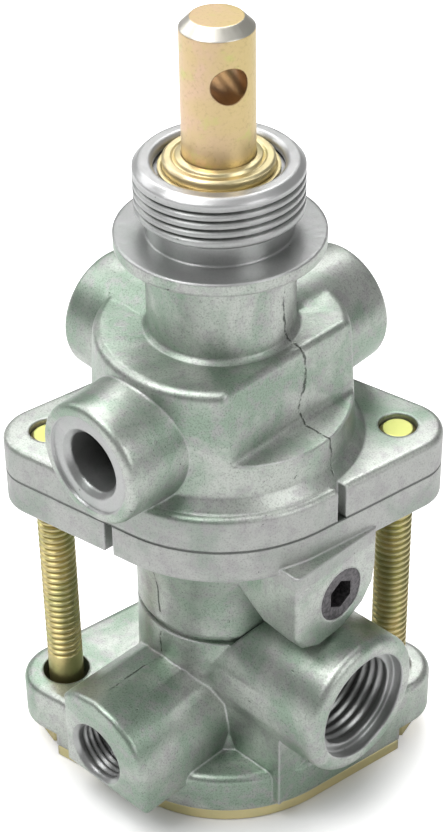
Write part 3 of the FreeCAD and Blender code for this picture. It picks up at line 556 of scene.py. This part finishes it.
upper = copy_of("upper_body", cast.material)
take_away(upper, thread_coil("neck_coil", (0, 0, NECK_THREAD_FOOT), (0, 0, 1),
                             mounts["panel_neck"]["dims"]["r_mm"] * MM, NECK_DEPTH * NECK_PITCH,
                             NECK_PITCH, NECK_TURNS, False, AWAY_FROM_CAMERA, NECK_GROOVE_WIDTH))
lower = copy_of("lower_body", cast.material)
cut_port_thread(lower, "supply_port", 18)
cut_port_thread(lower, "control_port", 27)
middle = copy_of("middle_body", cast.material)
for piece, node in ((upper, "upper_body"), (lower, "lower_body"), (middle, "middle_body")):
    shade(piece)
    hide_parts(node)
    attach(piece, "housing")
    print(piece.name, len(piece.data.polygons), "faces")

# %% [markdown]
# The bolts have rolled threads: the same coil cuts them, from the plain length above the head
# to just under the bolt's end.

# %% Clamping bolts
BOLT_PITCH = 1.06 * MM
BOLT_DEPTH = 0.55
BOLT_RADIUS = 2.6 * MM
PLAIN_LENGTH = 15 * MM
BOLT_END = 1.6 * MM

for side in ("right", "left"):
    node = f"clamp_bolt_{side}"
    low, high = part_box(node)
    axis = Vector(((low[0] + high[0]) / 2, (low[1] + high[1]) / 2, 0))
    bolt = copy_of(node, zinc.material)
    bottom = low[2] + PLAIN_LENGTH
    turns = (high[2] - BOLT_END - bottom) / BOLT_PITCH
    take_away(bolt, thread_coil(f"{node}_coil", axis + Vector((0, 0, bottom)), (0, 0, 1), BOLT_RADIUS,
                                BOLT_DEPTH * BOLT_PITCH, BOLT_PITCH, turns, False))
    shade(bolt)
    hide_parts(node)
    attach(bolt, "housing")
    print(bolt.name, len(bolt.data.polygons), "faces")

# %% [markdown]
# Each spring stands on a seat of the housing and presses on a moving piece. Its merged copy,
# smooth shaded, stands for the node, with its place baked into the mesh.

# %% Springs
LOW_END, HIGH_END = 0, 1

for node, body, fixed in (("plunger_spring", "push_plunger", LOW_END),
                          ("relay_spring", "relay", HIGH_END)):
    spring = copy_of(node, wire.material)
    shade(spring)
    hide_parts(node)
    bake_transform(spring)

# %% [markdown]
# A white sheet lies under the valve. Near the valve it is painted darker and does not glow, a
# painted contact shadow over the rendered one. To the camera it glows a little outside that, so
# that it ends up white, and the glow lights nothing.

# %% Floor
SHEET = (0.92, 0.92, 0.92)
PAINTED_SHADOW_SHEET = (0.75, 0.75, 0.75)
GLOW = 0.5
SHADOW_FROM, SHADOW_TO = 20, 32
HALF_SHEET = 3

floor_mesh = bpy.data.meshes.new("floor")
bm = bmesh.new()
bmesh.ops.create_grid(bm, x_segments=1, y_segments=1, size=HALF_SHEET)
bm.to_mesh(floor_mesh)
bm.free()
floor = bpy.data.objects.new("floor", floor_mesh)
bpy.context.scene.collection.objects.link(floor)
paper = Finish("paper", Base_Color=(*SHEET, 1), Roughness=0.9, Emission_Color=(1, 1, 1, 1),
               Emission_Strength=GLOW)
# painted contact shadow: near the valve the sheet is darker and does not glow
clear = paper.ramp(paper.from_upright_axis(paper.place()), SHADOW_FROM, SHADOW_TO)
seen_directly = paper.node("ShaderNodeLightPath", out="Is Camera Ray")
paper.feed("Emission Color", paper.mix(clear * seen_directly, (0, 0, 0), (1, 1, 1)))
paper.feed("Base Color", paper.mix(clear, PAINTED_SHADOW_SHEET, SHEET))
floor_mesh.materials.append(paper.material)
print("floor", 2 * HALF_SHEET, "m wide")

# %% [markdown]
# The room behind is white to the camera, but it lights the valve much less than that.

# %% World
ROOM_LIGHT = 0.22

world = bpy.data.worlds.new("studio")
bpy.context.scene.world = world
world.use_nodes = True
tree = world.node_tree
room = tree.nodes["Background"]
room.inputs["Color"].default_value = (1, 1, 1, 1)
room.inputs["Strength"].default_value = ROOM_LIGHT
seen = tree.nodes.new("ShaderNodeBackground")
seen.inputs["Color"].default_value = (1, 1, 1, 1)
both = tree.nodes.new("ShaderNodeMixShader")
rays = tree.nodes.new("ShaderNodeLightPath")
tree.links.new(rays.outputs["Is Camera Ray"], both.inputs[0])
tree.links.new(room.outputs[0], both.inputs[1])
tree.links.new(seen.outputs[0], both.inputs[2])
tree.links.new(both.outputs[0], tree.nodes["World Output"].inputs["Surface"])
print("room light", ROOM_LIGHT)

# %% [markdown]
# Five square soft lamps: one in front, one at each side, the strongest high behind, whose
# reflection lies on the upward faces, and one overhead. Angles are in degrees, 0 in front along
# -Y and 90 on the +X side, and sizes and distances in metres.

# %% Lamps
MIDDLE_OF_VALVE = Vector((0, 0, 55 * MM))


def lamp(name, side, up, away, size, power):
    """A square soft lamp that faces the middle of the valve."""
    light = bpy.data.lights.new(name, "AREA")
    light.shape = "SQUARE"
    light.size = size
    light.energy = power
    obj = bpy.data.objects.new(name, light)
    side, up = math.radians(side), math.radians(up)
    towards = Vector((math.sin(side) * math.cos(up), -math.cos(side) * math.cos(up), math.sin(up)))
    obj.location = MIDDLE_OF_VALVE + towards * away
    obj.rotation_euler = (-towards).to_track_quat("-Z", "Y").to_euler()
    bpy.context.scene.collection.objects.link(obj)


lamp("key", -20, 60, 0.7, 0.35, 2.5)
lamp("left", -80, 35, 0.8, 0.4, 1.3)
lamp("right", 95, 30, 0.8, 0.4, 1.6)
lamp("back", 225, 58, 0.8, 0.5, 3.8)
lamp("top", 0, 88, 0.7, 0.5, 1.2)
print("lamps:", len(bpy.data.lights))

bpy.context.scene.view_settings.view_transform = "Standard"
